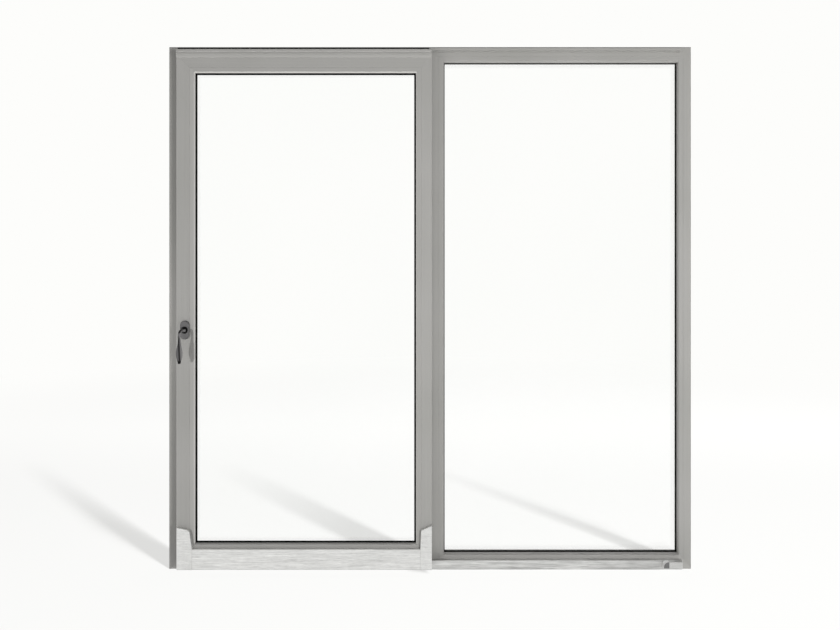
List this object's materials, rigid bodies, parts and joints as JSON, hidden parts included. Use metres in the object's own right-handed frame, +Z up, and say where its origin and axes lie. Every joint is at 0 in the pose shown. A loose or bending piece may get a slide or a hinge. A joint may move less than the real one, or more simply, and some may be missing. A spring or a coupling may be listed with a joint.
{
  "type": "parallel sliding patio window",
  "caption": "Parallel sliding patio window with a fixed light, a door-height leaf that runs in front of it on a bottom rail, and a lever handle.",
  "frame": {"origin": "middle of the sill's underside, which stands on the wall's sill", "axes": "+X right as seen from the room, +Y to the outside, +Z up"},
  "size_m": [2, 0.185, 2],
  "materials": {
    "frame_finish": "satin warm light grey coating",
    "black_rubber": "matt black",
    "clear_glass": "clear float glass",
    "spacer_black": "matt black",
    "silver_metal": "fine brushed silver anodising",
    "carriage_steel": "zinc plated",
    "dark_nylon": "matt dark nylon",
    "buffer_rubber": "matt dark grey",
    "handle_metal": "satin dark titanium grey"
  },
  "bodies": {
    "frame": {"left_jamb": "frame_finish", "right_jamb": "frame_finish", "head": "frame_finish", "sill": "frame_finish", "mullion": "frame_finish", "opening_trim_top": "frame_finish", "opening_trim_bottom": "frame_finish", "fixed_bead_left": "frame_finish", "fixed_bead_right": "frame_finish", "fixed_bead_bottom": "frame_finish", "fixed_bead_top": "frame_finish", "fixed_gasket_outside": "black_rubber", "fixed_pane_outside": "clear_glass", "fixed_spacer": "spacer_black", "fixed_pane_room": "clear_glass", "fixed_gasket_room": "black_rubber", "opening_seal": "black_rubber", "running_rail": "silver_metal", "guide_rail": "frame_finish", "rail_stop": "silver_metal", "rail_buffer": "buffer_rubber"},
    "leaf": {"lock_stile": "frame_finish", "meeting_stile": "frame_finish", "leaf_top_rail": "frame_finish", "leaf_bottom_rail": "frame_finish", "leaf_bead_left": "frame_finish", "leaf_bead_right": "frame_finish", "leaf_bead_bottom": "frame_finish", "leaf_bead_top": "frame_finish", "leaf_gasket_outside": "black_rubber", "leaf_pane_outside": "clear_glass", "leaf_spacer": "spacer_black", "leaf_pane_room": "clear_glass", "leaf_gasket_room": "black_rubber", "top_cover": "frame_finish", "top_seal": "black_rubber", "bottom_cover": "silver_metal", "left_cap": "silver_metal", "right_cap": "silver_metal", "left_carriage": "carriage_steel", "right_carriage": "carriage_steel", "carriage_wheels": "dark_nylon", "guide_shoes": "dark_nylon", "handle_rosette": "handle_metal"},
    "handle": {"handle_lever": "handle_metal"}
  },
  "joints": [
    {"name": "leaf_slide", "type": "slide", "parent": "frame", "child": "leaf", "axis": [1, 0, 0], "range_m": [0, 0.865]},
    {"name": "handle_turn", "type": "hinge", "parent": "leaf", "child": "handle", "pos_m": [-0.921, -0.094, 0.92], "axis": [0, -1, 0], "range_deg": [0, 180]}
  ]
}
